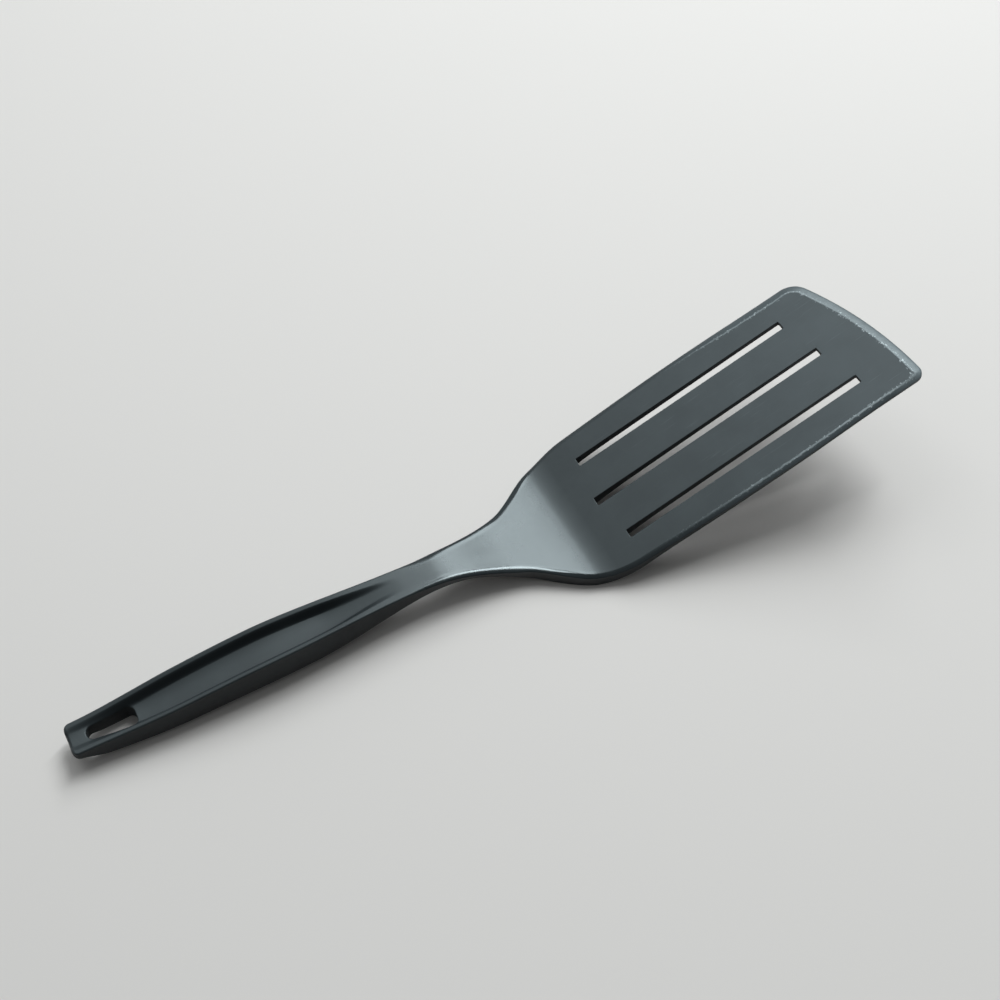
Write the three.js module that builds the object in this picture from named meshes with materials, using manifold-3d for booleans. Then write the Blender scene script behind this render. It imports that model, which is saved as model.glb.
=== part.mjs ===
// Slotted spatula: a nylon turner with a tilted blade, a flared neck and a recessed handle.
// Millimetres, +Z up. It lies as on a worktop, on its heel and on the handle's belly, tip raised.
// While it is built, x runs from the handle's end to the tip and y points to the blade's left side.

import * as THREE from "three";
import { mergeVertices } from "three/addons/utils/BufferGeometryUtils.js";
import Module from "manifold-3d";

// Lengths of the three regions; the blade's is taken along its slope, from the fold line to the tip
const HANDLE_LENGTH = 140;
const NECK_LENGTH = 44.4;
const BLADE_LENGTH = 131.6;

// Widths, from the handle's end to the tip
const END_WIDTH = 12.8;
const TAPER_WIDTH = 16.3;
const GRIP_WIDTH = 16.8;
const WAIST_WIDTH = 12.4;
const THROAT_WIDTH = 26;
const HEEL_WIDTH = 52.4;
const SHOULDER_WIDTH = 61;
const BLADE_WIDTH = 63.6;
const TIP_WIDTH = 62.8;

// Heights of the top and of the underside over the worktop
const END_TOP = 9.2;
const CROWN_TOP = 14.3;
const WAIST_TOP = 13.2;
const NECK_TOP = 7.2;
const HEEL_THICKNESS = 5.2;
const END_LIFT = 5.6;
const TOE_LIFT = 1.7;
const WAIST_LIFT = 8;

// Handle: recess along the top, a dish as deep as a share of half the width, belly corners and rounded end
const RECESS_DEPTH = 3;
const RECESS_SLOPE = 3;
const RIM_FLAT = 0.2;
const DISH_SHARE = 0.08;
const EDGE_ROUND = 0.8;
const BELLY_RADIUS = 3.8;
const END_CORNER_RADIUS = 2.4;
const END_ROUND = 1.2;

// Hanging slot through the recess floor, narrower towards the handle's end
const HANG_SLOT_LENGTH = 16.8;
const HANG_SLOT_WIDTH = 7.4;
const HANG_SLOT_END_WIDTH = 5;
const HANG_SLOT_CORNER = 2.2;
const HANG_SLOT_INSET = 6.2;

// Fold between neck and blade
const BLADE_TILT = THREE.MathUtils.degToRad(19.3);
const FOLD_RADIUS = 26;

// Blade plate, its bevels and its tip, which is an arc with its crest off the centre line
const ROOT_THICKNESS = 3;
const TIP_THICKNESS = 2.1;
const HEEL_BEVEL = 1.8;
const SIDE_BEVEL = 2;
const SIDE_BEVEL_DROP = 0.9;
const WORN_SIDE_BEVEL = 3.6;
const TIP_BEVEL = 3.4;
const TIP_BEVEL_DROP = 1.4;
const EDGE_BREAK = 0.3;
const TIP_ARC_RADIUS = 150;
const TIP_CREST_OFFSET = 30;
const LEFT_CORNER_RADIUS = 8.5;
const RIGHT_CORNER_RADIUS = 4;

// Blade slots
const SLOT_COUNT = 3;
const SLOT_WIDTH = 3.4;
const SLOT_PITCH = 18.1;
const SLOT_ROOT_MARGIN = 14.1;
const MIDDLE_SLOT_LEAD = 2.9;
const SLOT_TIP_MARGIN = 20.1;
const SLOT_END_SLANT = THREE.MathUtils.degToRad(12.7);

// Shares of the handle's length between which the recess runs out, and the rim's of half the waist there
const RECESS_FADE_START = 0.64;
const RECESS_FADE_END = 0.87;
const RIM_SHARE = 0.3;

// Shares of the blade's length: its thick root, where its left bevel grows, and its sides up to the corners
const ROOT_SHARE = 0.2;
const WEAR_START = 0.4;
const WEAR_END = 0.75;
const SIDE_SHARE = 0.85;

// How much of a wall a rounding may take up, and of a corner's radius a bevel
const WALL_SHARE = 0.8;
const CORNER_SHARE = 0.9;

// How finely the curves are stepped
const END_STEPS = 6;
const HANDLE_STEPS = 32;
const NECK_STEPS = 14;
const FOLD_STEPS = 6;
const SIDE_STEPS = 14;
const CORNER_STEPS = 7;
const TIP_STEPS = 8;
const HANG_SLOT_STEPS = 10;

// Places that follow from the sizes
const foldStart = HANDLE_LENGTH + NECK_LENGTH;
const foldTangent = FOLD_RADIUS * Math.tan(BLADE_TILT / 2);
const foldArc = FOLD_RADIUS * BLADE_TILT;
const foldX = foldStart + foldTangent;
const bladeFrame = new THREE.Matrix4().makeRotationY(-BLADE_TILT).setPosition(foldX, 0, HEEL_THICKNESS);

const wasm = await Module();
wasm.setup();

const { lerp, smoothstep } = THREE.MathUtils;

// A smooth curve through stations [place, value] that never swings past them.
function smoothCurve(stations) {
  const spans = stations.slice(1).map(([x], i) => x - stations[i][0]);
  const rises = spans.map((span, i) => (stations[i + 1][1] - stations[i][1]) / span);
  const slopes = stations.map((station, i) => {
    if (i === 0 || i === spans.length) return 0;
    const mean = (rises[i - 1] * spans[i] + rises[i] * spans[i - 1]) / (spans[i - 1] + spans[i]);
    const size = Math.min(Math.abs(rises[i - 1]), Math.abs(rises[i]), Math.abs(mean) / 2);
    return (Math.sign(rises[i - 1]) + Math.sign(rises[i])) * size;
  });
  return (x) => {
    const last = spans.length - 1;
    const found = stations.findIndex(([place], i) => i <= last && x < place + spans[i]);
    const i = found < 0 ? last : found;
    const t = THREE.MathUtils.clamp((x - stations[i][0]) / spans[i], 0, 1);
    const ends = lerp(stations[i][1], stations[i + 1][1], t * t * (3 - 2 * t));
    return ends + spans[i] * t * (1 - t) * (slopes[i] * (1 - t) - slopes[i + 1] * t);
  };
}

const alongHandle = (share) => share * HANDLE_LENGTH;
const alongNeck = (share) => HANDLE_LENGTH + share * NECK_LENGTH;
const alongBlade = (u) => foldStart + foldArc + u - foldTangent;

const halfWidth = smoothCurve([
  [0, END_WIDTH / 2],
  [alongHandle(0.28), TAPER_WIDTH / 2],
  [alongHandle(0.48), GRIP_WIDTH / 2],
  [alongHandle(0.9), WAIST_WIDTH / 2],
  [alongNeck(0.52), THROAT_WIDTH / 2],
  [foldStart, HEEL_WIDTH / 2],
  [alongBlade(0.1 * BLADE_LENGTH), SHOULDER_WIDTH / 2],
  [alongBlade(0.6 * BLADE_LENGTH), BLADE_WIDTH / 2],
  [alongBlade(SIDE_SHARE * BLADE_LENGTH), TIP_WIDTH / 2],
]);

const topHeight = smoothCurve([
  [0, END_TOP],
  [alongHandle(0.54), CROWN_TOP],
  [alongHandle(0.95), WAIST_TOP],
  [alongNeck(0.53), NECK_TOP],
  [foldStart, HEEL_THICKNESS],
]);

const undersideHeight = smoothCurve([
  [0, END_LIFT],
  [alongHandle(0.08), TOE_LIFT],
  [alongHandle(0.3), 0],
  [alongHandle(0.61), 0],
  [HANDLE_LENGTH, WAIST_LIFT],
  [alongNeck(0.8), 0],
  [foldStart, 0],
]);

// The recess is shallow at the handle's end and fades out at the waist.
const recessShare = smoothCurve([
  [0, 0.15],
  [alongHandle(0.2), 1],
  [alongHandle(RECESS_FADE_START), 1],
  [alongHandle(RECESS_FADE_END), 0],
  [foldStart, 0],
]);

// The rim beside the recess widens where the recess runs out.
const rimFlat = smoothCurve([
  [alongHandle(RECESS_FADE_START), RIM_FLAT],
  [alongHandle(RECESS_FADE_END), RIM_SHARE * (WAIST_WIDTH / 2)],
  [foldStart, RIM_SHARE * (WAIST_WIDTH / 2)],
]);

// The dish across the top is flatter at the waist and fades out at the fold.
const dishShare = smoothCurve([
  [0, 1],
  [alongHandle(RECESS_FADE_START), 1],
  [alongHandle(0.9), 0.2],
  [alongNeck(0.45), 0.4],
  [foldStart, 0],
]);

const bellyRadius = smoothCurve([
  [0, 0.3 * BELLY_RADIUS],
  [alongHandle(0.5), BELLY_RADIUS],
  [HANDLE_LENGTH, 0.7 * BELLY_RADIUS],
  [foldStart, EDGE_BREAK],
]);

// The plate is as thick as the heel where the fold starts, and thins fast over the blade's root.
const plateThickness = smoothCurve([
  [foldStart, HEEL_THICKNESS],
  [alongBlade(ROOT_SHARE * BLADE_LENGTH), ROOT_THICKNESS],
  [alongBlade(BLADE_LENGTH), TIP_THICKNESS],
]);

// The drop of a bevel grows with its width, from the blade's sides to its tip.
function bevelDrop(bevel) {
  return lerp(SIDE_BEVEL_DROP, TIP_BEVEL_DROP, (bevel - SIDE_BEVEL) / (TIP_BEVEL - SIDE_BEVEL));
}

const edgeWidth = smoothCurve([[HANDLE_LENGTH, EDGE_ROUND], [foldStart, HEEL_BEVEL]]);
const edgeDrop = smoothCurve([[HANDLE_LENGTH, EDGE_ROUND], [foldStart, bevelDrop(HEEL_BEVEL)]]);
const edgeBulge = smoothCurve([[HANDLE_LENGTH, 1], [foldStart, 0]]);

// How far a rounding of this radius has cut in, at a distance from the face that it meets.
function roundingCut(radius, distance) {
  const reach = Math.max(radius - distance, 0);
  return radius - Math.sqrt(radius * radius - reach * reach);
}

// A skin over sections, each with a top and an underside row of as many points from left to right.
// It is closed by a flat cap at its start, and at its end too unless it runs out to an edge there.
function loft(sections, runsOut = false) {
  const positions = [];
  const addTriangle = (...corners) => {
    const [a, b, c] = corners;
    if (a.equals(b) || b.equals(c) || c.equals(a)) return;
    corners.forEach((corner) => positions.push(...corner.toArray()));
  };
  const addQuad = (a, b, c, d) => {
    addTriangle(a, b, c);
    addTriangle(a, c, d);
  };
  const loops = sections.map(({ top, underside }) => [...top, ...underside.toReversed()]);
  for (let i = 1; i < loops.length; i++) {
    loops[i].forEach((point, k) => {
      const next = (k + 1) % loops[i].length;
      addQuad(loops[i - 1][k], loops[i - 1][next], loops[i][next], point);
    });
  }
  const addCap = ({ top, underside }, facesBack) => {
    for (let k = 1; k < top.length; k++) {
      const corners = [top[k - 1], underside[k - 1], underside[k], top[k]];
      addQuad(...(facesBack ? corners : corners.reverse()));
    }
  };
  addCap(sections[0], true);
  if (!runsOut) addCap(sections.at(-1), false);
  const geometry = new THREE.BufferGeometry();
  geometry.setAttribute("position", new THREE.Float32BufferAttribute(positions, 3));
  return mergeVertices(geometry);
}

function toSolid(geometry) {
  const bare = new THREE.BufferGeometry();
  bare.setAttribute("position", geometry.getAttribute("position"));
  bare.setIndex(geometry.getIndex());
  const merged = mergeVertices(bare);
  return new wasm.Manifold(new wasm.Mesh({
    numProp: 3,
    vertProperties: merged.getAttribute("position").array,
    triVerts: Uint32Array.from(merged.getIndex().array),
  }));
}

function cutAway(geometry, cutters) {
  const solid = cutters.reduce((body, cutter) => body.subtract(toSolid(cutter)), toSolid(geometry));
  const { vertProperties, triVerts } = solid.getMesh();
  const result = new THREE.BufferGeometry();
  result.setAttribute("position", new THREE.BufferAttribute(vertProperties, 3));
  result.setIndex(new THREE.BufferAttribute(triVerts, 1));
  return result;
}

// The upright cross-section of handle or neck at x: rim, recess, round belly corners and soft edges.
function gripSection(x) {
  const fullHalf = halfWidth(x);
  const half = fullHalf - roundingCut(END_CORNER_RADIUS, x);
  const top = topHeight(x) - roundingCut(END_ROUND, x);
  const underside = undersideHeight(x) + roundingCut(END_ROUND, x);
  const width = edgeWidth(x);
  const drop = edgeDrop(x);
  const radius = Math.min(bellyRadius(x), WALL_SHARE * (top - drop - underside));
  const arcShare = 1 - Math.SQRT1_2;
  const slopeStart = width + rimFlat(x);
  const floorStart = slopeStart + Math.min(RECESS_SLOPE, WALL_SHARE * (fullHalf - slopeStart));
  const hollow = (inset) => {
    const rest = (fullHalf - inset) / (fullHalf - width);
    const dish = dishShare(x) * DISH_SHARE * (fullHalf - width);
    const recess = recessShare(x) * RECESS_DEPTH * smoothstep(inset, slopeStart, floorStart);
    return recess + dish * (1 - rest * rest) ** 2;
  };
  const columns = [
    [0, drop],
    [arcShare * width, drop * lerp(1 - arcShare, arcShare, edgeBulge(x))],
    [width, 0],
  ];
  for (const share of [0, 0.25, 0.5, 0.75, 1]) {
    const inset = lerp(slopeStart, floorStart, share);
    columns.push([inset, hollow(inset)]);
  }
  const halfway = lerp(floorStart, fullHalf, 0.5);
  columns.push([halfway, hollow(halfway)]);
  const left = columns.map(([inset, depth]) => ({
    y: half * (1 - inset / fullHalf),
    topZ: top - depth,
    undersideZ: underside + roundingCut(radius, inset),
  }));
  const middle = { y: 0, topZ: top - hollow(fullHalf), undersideZ: underside };
  const right = left.map((column) => ({ ...column, y: -column.y }));
  const across = [...left, middle, ...right.reverse()];
  return {
    top: across.map(({ y, topZ }) => new THREE.Vector3(x, y, topZ)),
    underside: across.map(({ y, undersideZ }) => new THREE.Vector3(x, y, undersideZ)),
  };
}

function makeHandle() {
  const stations = [];
  for (let i = 0; i < END_STEPS; i++) {
    stations.push(END_CORNER_RADIUS * (1 - Math.cos((Math.PI / 2) * (i / END_STEPS))));
  }
  for (let i = 0; i <= HANDLE_STEPS; i++) {
    stations.push(lerp(END_CORNER_RADIUS, HANDLE_LENGTH, i / HANDLE_STEPS));
  }
  return cutAway(loft(stations.map(gripSection)), [hangSlotCutter()]);
}

// A prism standing through the handle near its end, round at the narrow end and cornered at the wide one.
function hangSlotCutter() {
  const narrow = HANG_SLOT_END_WIDTH / 2;
  const first = HANG_SLOT_INSET + narrow;
  const last = HANG_SLOT_INSET + HANG_SLOT_LENGTH - HANG_SLOT_CORNER;
  const aside = HANG_SLOT_WIDTH / 2 - HANG_SLOT_CORNER;
  const spread = Math.asin((narrow - HANG_SLOT_CORNER) / Math.hypot(last - first, aside));
  const tangent = Math.PI / 2 + Math.atan2(aside, last - first) - spread;
  const outline = new THREE.Shape();
  outline.absarc(first, 0, narrow, tangent, 2 * Math.PI - tangent);
  outline.absarc(last, -aside, HANG_SLOT_CORNER, -tangent, 0);
  outline.absarc(last, aside, HANG_SLOT_CORNER, 0, tangent);
  const options = { depth: 3 * CROWN_TOP, bevelEnabled: false, curveSegments: HANG_SLOT_STEPS };
  return new THREE.ExtrudeGeometry(outline, options).translate(0, 0, -CROWN_TOP);
}

function makeNeck() {
  const sections = [];
  for (let i = 0; i <= NECK_STEPS; i++) {
    sections.push(gripSection(lerp(HANDLE_LENGTH, foldStart, i / NECK_STEPS)));
  }
  return loft(sections);
}

// One edge of a plate section in its frame: a place on the outline, the way out there, and the bevel.
function plateEdge(frame, place, out, bevel, thickness) {
  const at = (inset, depth) => {
    const point = place.clone().addScaledVector(out, -inset);
    return new THREE.Vector3(point.x, point.y, -depth).applyMatrix4(frame);
  };
  return {
    top: [at(0, bevelDrop(bevel)), at(bevel, 0)],
    underside: [at(0, thickness - EDGE_BREAK), at(EDGE_BREAK, thickness)],
  };
}

const joinEdges = (left, right) => ({
  top: [...left.top, ...right.top.toReversed()],
  underside: [...left.underside, ...right.underside.toReversed()],
});

// Sections from neck to blade, turning about the fold while the plate thins.
function foldSections() {
  const sections = [];
  for (let i = 0; i < FOLD_STEPS; i++) {
    const angle = BLADE_TILT * (i / FOLD_STEPS);
    const along = foldStart + FOLD_RADIUS * angle;
    const x = foldStart + FOLD_RADIUS * Math.sin(angle);
    const z = HEEL_THICKNESS + FOLD_RADIUS * (1 - Math.cos(angle));
    const turn = new THREE.Matrix4().makeRotationY(-angle).setPosition(x, 0, z);
    const edge = (side) => {
      const place = new THREE.Vector2(0, side * halfWidth(along));
      return plateEdge(turn, place, new THREE.Vector2(0, side), HEEL_BEVEL, plateThickness(along));
    };
    sections.push(joinEdges(edge(1), edge(-1)));
  }
  return sections;
}

// The outline of one side of the plate, from the fold around its corner to the middle of the tip.
function bladeSide(side, cornerRadius, sideBevel) {
  const tipCentre = new THREE.Vector2(BLADE_LENGTH - TIP_ARC_RADIUS, -TIP_CREST_OFFSET);
  const corner = new THREE.Vector2(0, side * (TIP_WIDTH / 2 - cornerRadius));
  const reach = TIP_ARC_RADIUS - cornerRadius;
  corner.x = tipCentre.x + Math.sqrt(reach * reach - (corner.y - tipCentre.y) ** 2);
  const cornerAngle = Math.atan2(corner.y - tipCentre.y, corner.x - tipCentre.x);
  const middleAngle = Math.asin(TIP_CREST_OFFSET / TIP_ARC_RADIUS);
  const edges = [];
  const addEdge = (place, out, bevel) => {
    edges.push(plateEdge(bladeFrame, place, out, bevel, plateThickness(alongBlade(place.x))));
  };
  const addOnArc = (centre, radius, angle, bevel) => {
    const out = new THREE.Vector2(Math.cos(angle), Math.sin(angle));
    addEdge(centre.clone().addScaledVector(out, radius), out, bevel);
  };
  const sideEnd = Math.min(SIDE_SHARE * BLADE_LENGTH, corner.x);
  for (let i = 0; i <= SIDE_STEPS; i++) {
    const u = lerp(foldTangent, sideEnd, i / SIDE_STEPS);
    const place = new THREE.Vector2(u, side * halfWidth(alongBlade(u)));
    addEdge(place, new THREE.Vector2(0, side), sideBevel(u));
  }
  for (let i = 0; i <= CORNER_STEPS; i++) {
    const share = i / CORNER_STEPS;
    const bevel = Math.min(lerp(sideBevel(corner.x), TIP_BEVEL, share), CORNER_SHARE * cornerRadius);
    addOnArc(corner, cornerRadius, lerp(side * (Math.PI / 2), cornerAngle, share), bevel);
  }
  for (let i = 1; i <= TIP_STEPS; i++) {
    addOnArc(tipCentre, TIP_ARC_RADIUS, lerp(cornerAngle, middleAngle, i / TIP_STEPS), TIP_BEVEL);
  }
  return edges;
}

function slotCutters() {
  const middle = (SLOT_COUNT - 1) / 2;
  const tipEnd = BLADE_LENGTH - TIP_CREST_OFFSET ** 2 / (2 * TIP_ARC_RADIUS) - SLOT_TIP_MARGIN;
  const cutters = [];
  for (let i = 0; i < SLOT_COUNT; i++) {
    const v = (i - middle) * SLOT_PITCH;
    const start = SLOT_ROOT_MARGIN - (i === middle ? MIDDLE_SLOT_LEAD : 0);
    const end = tipEnd - v * Math.tan(SLOT_END_SLANT);
    const cutter = new THREE.BoxGeometry(end - start, SLOT_WIDTH, 3 * HEEL_THICKNESS);
    cutters.push(cutter.translate((start + end) / 2, v, 0).applyMatrix4(bladeFrame));
  }
  return cutters;
}

function makeBlade() {
  const rootEnd = ROOT_SHARE * BLADE_LENGTH;
  const sideBevel = (u) => lerp(HEEL_BEVEL, SIDE_BEVEL, smoothstep(u, foldTangent, rootEnd));
  const wear = (u) => smoothstep(u / BLADE_LENGTH, WEAR_START, WEAR_END);
  const wornBevel = (u) => lerp(sideBevel(u), WORN_SIDE_BEVEL, wear(u));
  const left = bladeSide(1, LEFT_CORNER_RADIUS, wornBevel);
  const right = bladeSide(-1, RIGHT_CORNER_RADIUS, sideBevel);
  const plate = left.map((edge, i) => joinEdges(edge, right[i]));
  return cutAway(loft([...foldSections(), ...plate], true), slotCutters());
}

const satinNylon = new THREE.MeshStandardMaterial({ color: 0x1f2324, roughness: 0.5, metalness: 0 });
const polishedNylon = new THREE.MeshStandardMaterial({ color: 0x1f2324, roughness: 0.3, metalness: 0 });

const spatula = new THREE.Group();
for (const [name, geometry, material] of [
  ["blade", makeBlade(), satinNylon],
  ["neck", makeNeck(), polishedNylon],
  ["handle", makeHandle(), satinNylon],
]) {
  geometry.computeVertexNormals();
  const mesh = new THREE.Mesh(geometry, material);
  mesh.name = name;
  spatula.add(mesh);
}

// The part's origin is under the middle of its length, on the worktop.
const bounds = new THREE.Box3().setFromObject(spatula);
spatula.position.x = -(bounds.min.x + bounds.max.x) / 2;

export default spatula;
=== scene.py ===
"""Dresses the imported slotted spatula: one nylon skin over blade, neck and handle, in soft studio light."""

import math
from types import SimpleNamespace

import bmesh
import bpy
import numpy as np
from mathutils import Euler, Matrix, Vector, noise
from mathutils.geometry import delaunay_2d_cdt


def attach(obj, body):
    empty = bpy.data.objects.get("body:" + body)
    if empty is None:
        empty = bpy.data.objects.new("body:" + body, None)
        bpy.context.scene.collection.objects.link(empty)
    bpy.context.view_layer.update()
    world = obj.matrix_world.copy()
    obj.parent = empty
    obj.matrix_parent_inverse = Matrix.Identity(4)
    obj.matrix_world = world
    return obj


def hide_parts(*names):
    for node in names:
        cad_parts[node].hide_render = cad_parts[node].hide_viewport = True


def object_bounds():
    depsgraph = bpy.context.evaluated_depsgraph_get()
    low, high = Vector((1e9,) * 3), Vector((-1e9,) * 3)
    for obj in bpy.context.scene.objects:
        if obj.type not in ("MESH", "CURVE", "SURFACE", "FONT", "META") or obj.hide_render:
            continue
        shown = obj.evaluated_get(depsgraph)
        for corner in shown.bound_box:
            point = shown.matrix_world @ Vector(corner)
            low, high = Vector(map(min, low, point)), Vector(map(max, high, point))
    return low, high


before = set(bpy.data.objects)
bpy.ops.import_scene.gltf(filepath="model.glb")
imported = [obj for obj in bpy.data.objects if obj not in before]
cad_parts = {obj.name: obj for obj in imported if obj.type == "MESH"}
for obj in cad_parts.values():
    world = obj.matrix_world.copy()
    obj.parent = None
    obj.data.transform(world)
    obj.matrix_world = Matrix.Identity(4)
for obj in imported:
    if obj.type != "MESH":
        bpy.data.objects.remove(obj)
cad_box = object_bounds()

# Sizes of the solids, in millimetres, with x from the handle's end to the tip
HANDLE_LENGTH, NECK_LENGTH, BLADE_LENGTH = 140, 44.4, 131.6
END_WIDTH, TAPER_WIDTH, GRIP_WIDTH, WAIST_WIDTH, THROAT_WIDTH = 12.8, 16.3, 16.8, 12.4, 26
HEEL_WIDTH, SHOULDER_WIDTH, BLADE_WIDTH, TIP_WIDTH = 52.4, 61, 63.6, 62.8
END_TOP, CROWN_TOP, WAIST_TOP, NECK_TOP = 9.2, 14.3, 13.2, 7.2
HEEL_THICKNESS, END_LIFT, TOE_LIFT, WAIST_LIFT = 5.2, 5.6, 1.7, 8
RECESS_DEPTH, DISH_SHARE = 3, 0.08
EDGE_ROUND, BELLY_RADIUS, END_CORNER_RADIUS, END_ROUND = 0.8, 3.8, 2.4, 1.2
HANG_SLOT_LENGTH, HANG_SLOT_INSET = 16.8, 6.2
HANG_SLOT_WIDTH, HANG_SLOT_END_WIDTH, HANG_SLOT_CORNER = 7.4, 5, 2.2
BLADE_TILT, FOLD_RADIUS = math.radians(19.3), 26
ROOT_THICKNESS, TIP_THICKNESS = 3, 2.1
HEEL_BEVEL, SIDE_BEVEL, SIDE_BEVEL_DROP, WORN_SIDE_BEVEL = 1.8, 2, 0.9, 3.6
TIP_BEVEL, TIP_BEVEL_DROP, EDGE_BREAK = 3.4, 1.4, 0.3
TIP_ARC_RADIUS, TIP_CREST_OFFSET = 150, 30
LEFT_CORNER_RADIUS, RIGHT_CORNER_RADIUS = 8.5, 4
SLOT_COUNT, SLOT_WIDTH, SLOT_PITCH = 3, 3.4, 18.1
SLOT_ROOT_MARGIN, MIDDLE_SLOT_LEAD, SLOT_TIP_MARGIN = 14.1, 2.9, 20.1
SLOT_END_SLANT = math.radians(12.7)

# Shares of the handle's length and the waist's half width, of the blade's length, and of a wall's or
# corner's room
RECESS_FADE_START, RECESS_FADE_END, RIM_SHARE = 0.64, 0.87, 0.3
ROOT_SHARE, WEAR_START, WEAR_END, SIDE_SHARE = 0.2, 0.4, 0.75, 0.85
WALL_SHARE, CORNER_SHARE = 0.8, 0.9

# Fine shapes that the solids don't have or have a little plainer, in millimetres
RECESS_SLOPE, RIM_WIDTH, NECK_RIM_WIDTH, NECK_ROUND = 2.4, 0.9, 0.45, 3.4
RIM_LEAN = math.tan(math.radians(9))
HANG_SLOT_ROUND, SLOT_ROUND, SLOT_CORNER = 0.4, 0.22, 0.35

# How strongly an edge's curve is pulled to its corner, for a rounding and for a bevel
ROUND_PULL, BEVEL_PULL = 0.55, 0.2

# The ragged border of worn bevels: its swing, its noise, and the share of the blade where it sets in
RAGGED_SWING, RAGGED_FINENESS, RAGGED_LAYER = 0.3, 0.23, 3.7
RAGGED_FADE, RAGGED_STEP, RAGGED_OCTAVES = 0.8, 2.1, 4
RAGGED_START, RAGGED_END = 0.5, 0.8

# Wear along the blade, in shares of its length, with how strong it is in places; the ridge line's strength
# also sets its painted highlight, and the extra at the tip's right end is a painted highlight
RIGHT_WEAR_START, RIGHT_WEAR_END = 0.05, 0.85
TIP_WEAR_START, TIP_WEAR_END = 0.86, 0.94
RIDGE_FADE_START, RIDGE_FADE_END = 0.9, 0.95
LEFT_EDGE_WEAR, LEFT_RIDGE_WEAR_AND_HIGHLIGHT, RIGHT_TIP_PAINTED_SHEEN, RIDGE_FADE = 0.7, 0.5, 1.2, 0.65

# The distance that places with no bevel near are given, in millimetres
FAR_FROM_RIDGE = 50

# How finely the skin is stepped: across its sections, along it, and round its outlines
EDGE_COLUMNS, SLOPE_COLUMNS, BAND_COLUMNS, CORNER_COLUMNS, WALL_COLUMNS = 9, 12, 18, 9, 3
END_LOOPS, TOE_LOOPS, HANDLE_LOOPS, NECK_LOOPS, FOLD_LOOPS = 18, 3, 96, 48, 20
HANG_SLOT_ROWS, HANG_SIDE_STEPS, HANG_TURN_STEPS = 9, 12, 4
BLADE_SIDE_STEPS, BLADE_CORNER_STEPS, BLADE_TIP_STEPS = 80, 19, 36
SLOT_STEPS, ROUND_STEPS = 30, 5

# How much of its room a slope or corner takes, how much of the neck's flare the middle band follows, and
# the margin before and after the hanging slot, in millimetres
ROOM_SHARE, BAND_SHARE, HANG_SLOT_MARGIN = 0.96, 0.5, 1

# The spacing of points on flat faces and their distance from the borders, in millimetres
FILL_PITCH, FILL_MARGIN = 3.5, 1.5

# Distances that count as none, in millimetres, and how strongly large faces rule the shading
FILL_TOLERANCE, WELD_DISTANCE, NO_LENGTH = 1e-7, 2e-3, 1e-12
NORMAL_WEIGHT = 60

# Colours of the nylon: its own tones, then haze, scratches, worn bevels with a painted highlight at the tip's
# right end, their borders, worn and with a painted highlight, and chips with painted glints
NYLON_DARK = (0.0115, 0.0135, 0.0150, 1)
NYLON_LIGHT = (0.0165, 0.0190, 0.0205, 1)
HAZE_COLOUR = (0.050, 0.056, 0.061, 1)
SCRATCH_COLOUR = (0.070, 0.075, 0.080, 1)
WORN_BEVEL_AND_SHEEN_COLOUR = (0.10, 0.11, 0.115, 1)
RIDGE_WEAR_AND_HIGHLIGHT_COLOUR = (0.32, 0.33, 0.335, 1)
CHIP_AND_GLINT_COLOUR = (0.46, 0.47, 0.475, 1)
HAZE_COVER, BEVEL_COVER, RIDGE_COVER = 0.6, 0.45, 0.8

# How fine the nylon's patterns are, per metre, the chips with their painted glints among them, and how the
# line along a worn bevel, partly a painted highlight, strays, in millimetres
GRAIN_SCALE, MOTTLE_SCALE, PATCH_SCALE, CHIP_AND_GLINT_SCALE = 3200, 70, 480, 1300
SCRATCH_TURN, SCRATCH_SCALE = 0.5, (60, 1600, 60)
RIDGE_SHIFT, RIDGE_STRAY = 0.3, 1.1

# Where along x the finish changes, from none to full, in metres from the middle
POLISH_START, RUB_START, NECK_END = (-0.040, -0.010), (-0.040, -0.028), (0.036, 0.022)
HAZE_START = (0.02, 0.15)

# The nylon's roughness, what polish and rubbing take from it, and what wear and upright walls add
SATIN_ROUGHNESS, POLISH_GAIN, RUB_GAIN = 0.38, 0.15, 0.1
RIDGE_DULLNESS, WALL_DULLNESS = 0.15, 0.35

# The floor, in metres
FLOOR_REACH = 4
FLOOR_COLOUR = (0.71, 0.61, 0.575, 1)
FLOOR_ROUGHNESS, FLOOR_SHINE = 0.8, 0.2

# The room's light at the front and the back, and each lamp's azimuth, elevation, distance, size and power
LAMP_TINT = (0.82, 0.96, 1)
FRONT_LIGHT, BACK_LIGHT = 0.08, 0.52
SOFTBOXES = {
    "back_panel": (98, 54, 1.8, (1.2, 1.0), 5.8),
    "window": (48.5, 44.5, 1.6, (0.5, 0.95), 13),
    "strip": (28, 56, 1.5, (0.16, 1.0), 11),
}

# The camera's place and aim in the frame, in metres, and its lens in millimetres
CAMERA_PLACE = (-0.12183, -0.24336, 0.42097)
CAMERA_AIM = (0.01528, 0.02312, 0)
CAMERA_ROLL = math.radians(-1.22)
LENS, SENSOR_WIDTH = 50, 36

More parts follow.
